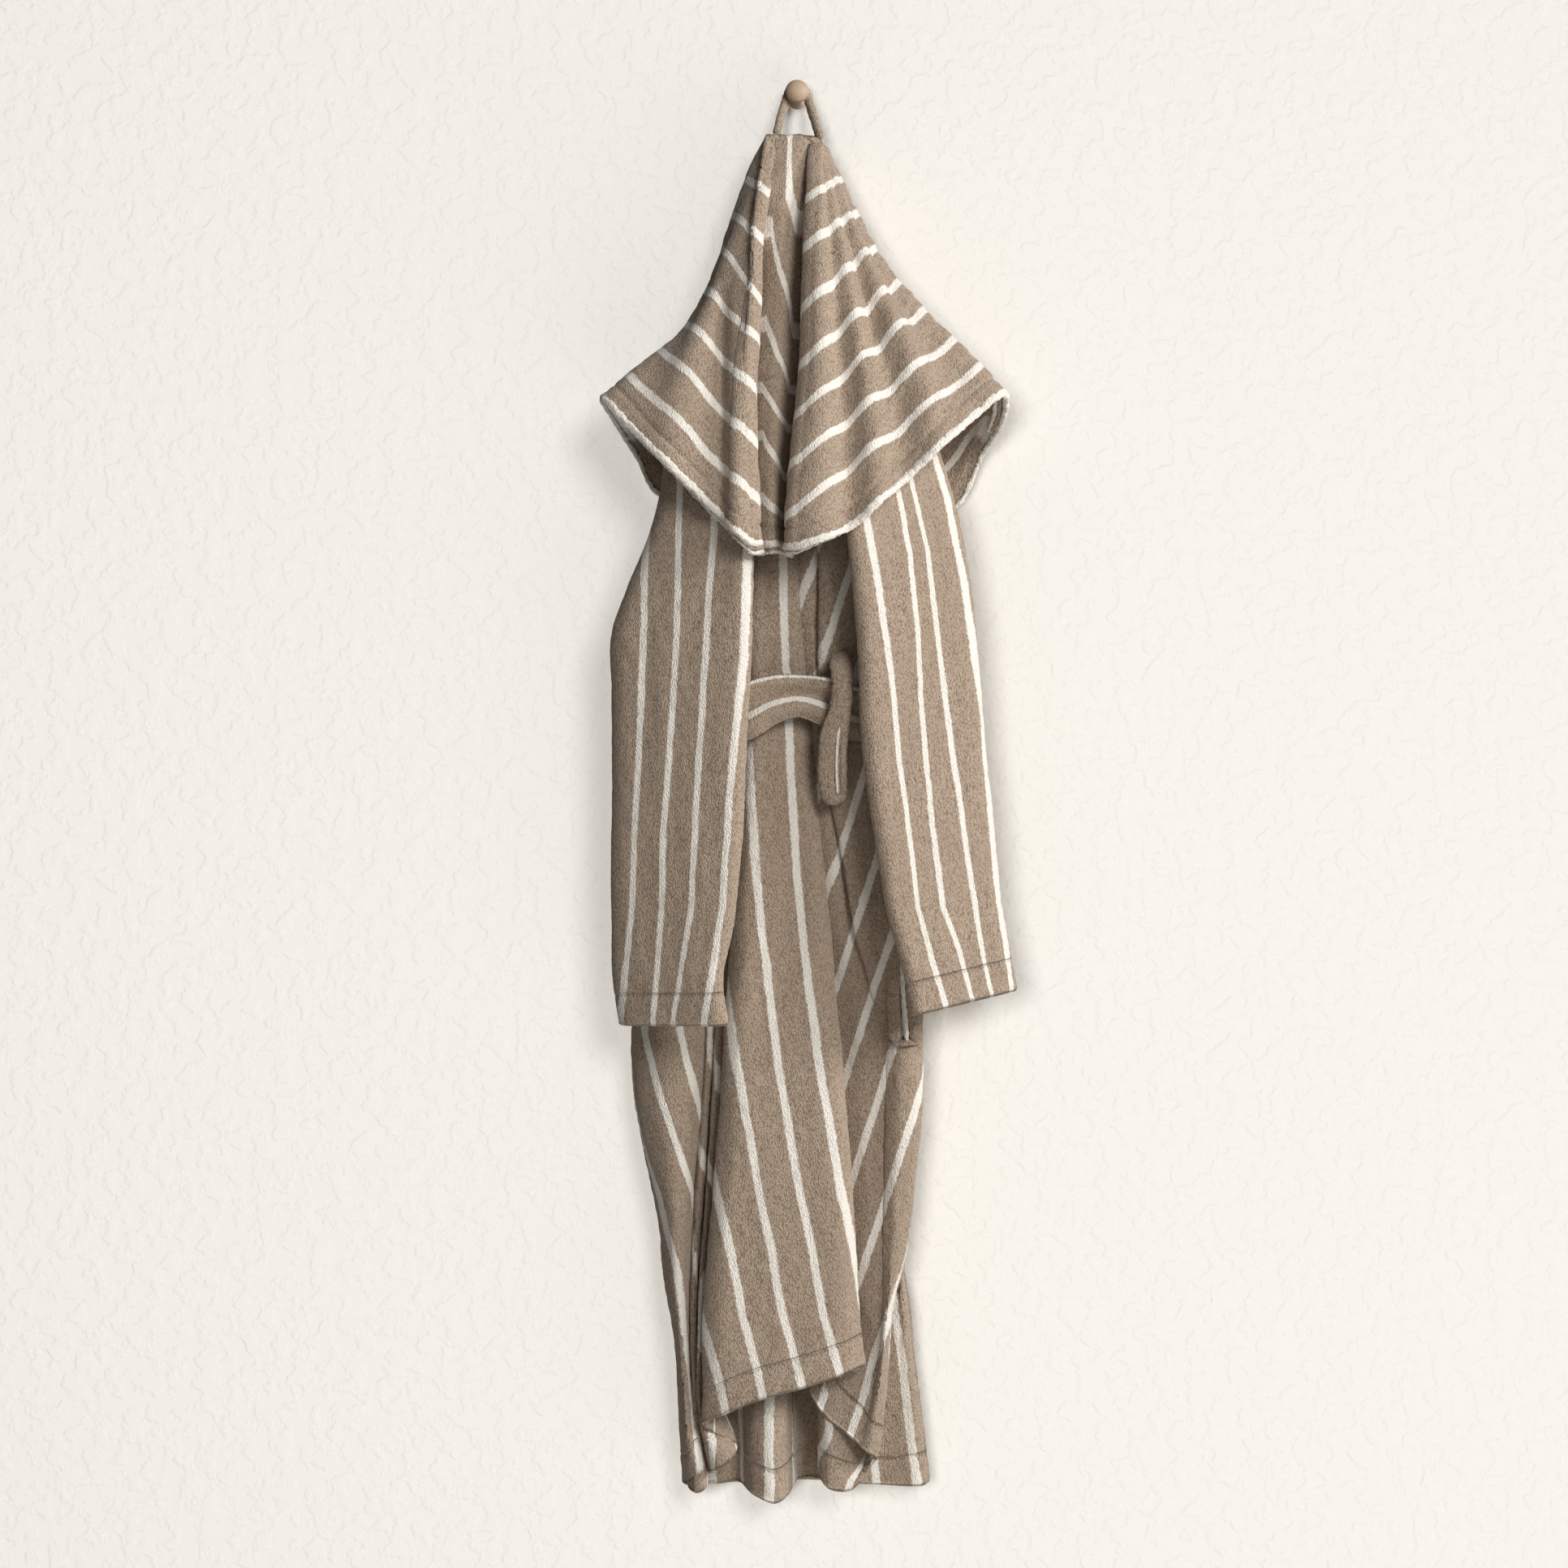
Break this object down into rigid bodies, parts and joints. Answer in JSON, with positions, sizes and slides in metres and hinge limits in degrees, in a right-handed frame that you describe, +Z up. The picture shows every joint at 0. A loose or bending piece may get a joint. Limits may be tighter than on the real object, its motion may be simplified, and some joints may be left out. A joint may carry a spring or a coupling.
{
  "type": "hooded bathrobe on a wall peg",
  "caption": "Striped terry bathrobe with a draped hood, belt and pockets, hanging by its neck loop on a turned wooden wall peg.",
  "frame": {"origin": "middle of the peg's foot on the wall, where the dowel screw enters the wall", "axes": "+Z up, +Y into the wall, +X to the right for someone facing the wall; the robe hangs on the -Y side with its back and hood facing -Y"},
  "size_m": [0.3431, 0.1857, 1.1961],
  "materials": {
    "terry": "matt terry towelling in taupe with off-white woven stripes",
    "terry_edge": "off-white terry along the hood's rolled edge",
    "wood": "fine-sanded beech with a matt oil",
    "steel": "zinc-plated thread"
  },
  "bodies": {
    "peg": {"wall_peg": "wood", "dowel_screw": "steel"},
    "loop": {"hanger_loop": "terry"},
    "neck": {"neck_band": "terry"},
    "robe": {"back_panel": "terry", "hem_back": "terry", "front_panel_left": "terry", "hem_front_left": "terry", "front_facing_left": "terry", "front_panel_right": "terry", "hem_front_right": "terry", "front_facing_right": "terry", "pocket_left": "terry", "pocket_right": "terry", "belt_loop_left": "terry", "belt_loop_right": "terry", "hood_back_left": "terry", "hood_back_right": "terry"},
    "hood": {"hood_left": "terry", "hood_right": "terry", "hood_hem": "terry_edge"},
    "arm_left": {"sleeve_left": "terry", "cuff_left": "terry"},
    "arm_right": {"sleeve_right": "terry", "cuff_right": "terry"},
    "belt": {"belt": "terry"}
  },
  "joints": [
    {"name": "lift_off", "type": "slide", "parent": "peg", "child": "loop", "axis": [0, -0.5, 0.866], "range_m": [0, 0.07]},
    {"name": "sway_sideways", "type": "hinge", "parent": "loop", "child": "neck", "pos_m": [0, -0.014, 0], "axis": [0, 1, 0], "range_deg": [-10, 10]},
    {"name": "swing_forward", "type": "hinge", "parent": "neck", "child": "robe", "pos_m": [0, -0.048, -0.05], "axis": [-1, 0, 0], "range_deg": [0, 20]},
    {"name": "hood_lift", "type": "hinge", "parent": "robe", "child": "hood", "pos_m": [0, -0.052, -0.052], "axis": [-1, 0, 0], "range_deg": [0, 12]},
    {"name": "sleeve_left_swing", "type": "hinge", "parent": "robe", "child": "arm_left", "pos_m": [-0.08, -0.112, -0.3], "axis": [0, 1, 0], "range_deg": [0, 25]},
    {"name": "sleeve_right_swing", "type": "hinge", "parent": "robe", "child": "arm_right", "pos_m": [0.082, -0.112, -0.3], "axis": [0, -1, 0], "range_deg": [0, 25]},
    {"name": "belt_slide", "type": "slide", "parent": "robe", "child": "belt", "axis": [1, 0, 0], "range_m": [-0.008, 0.008]}
  ]
}
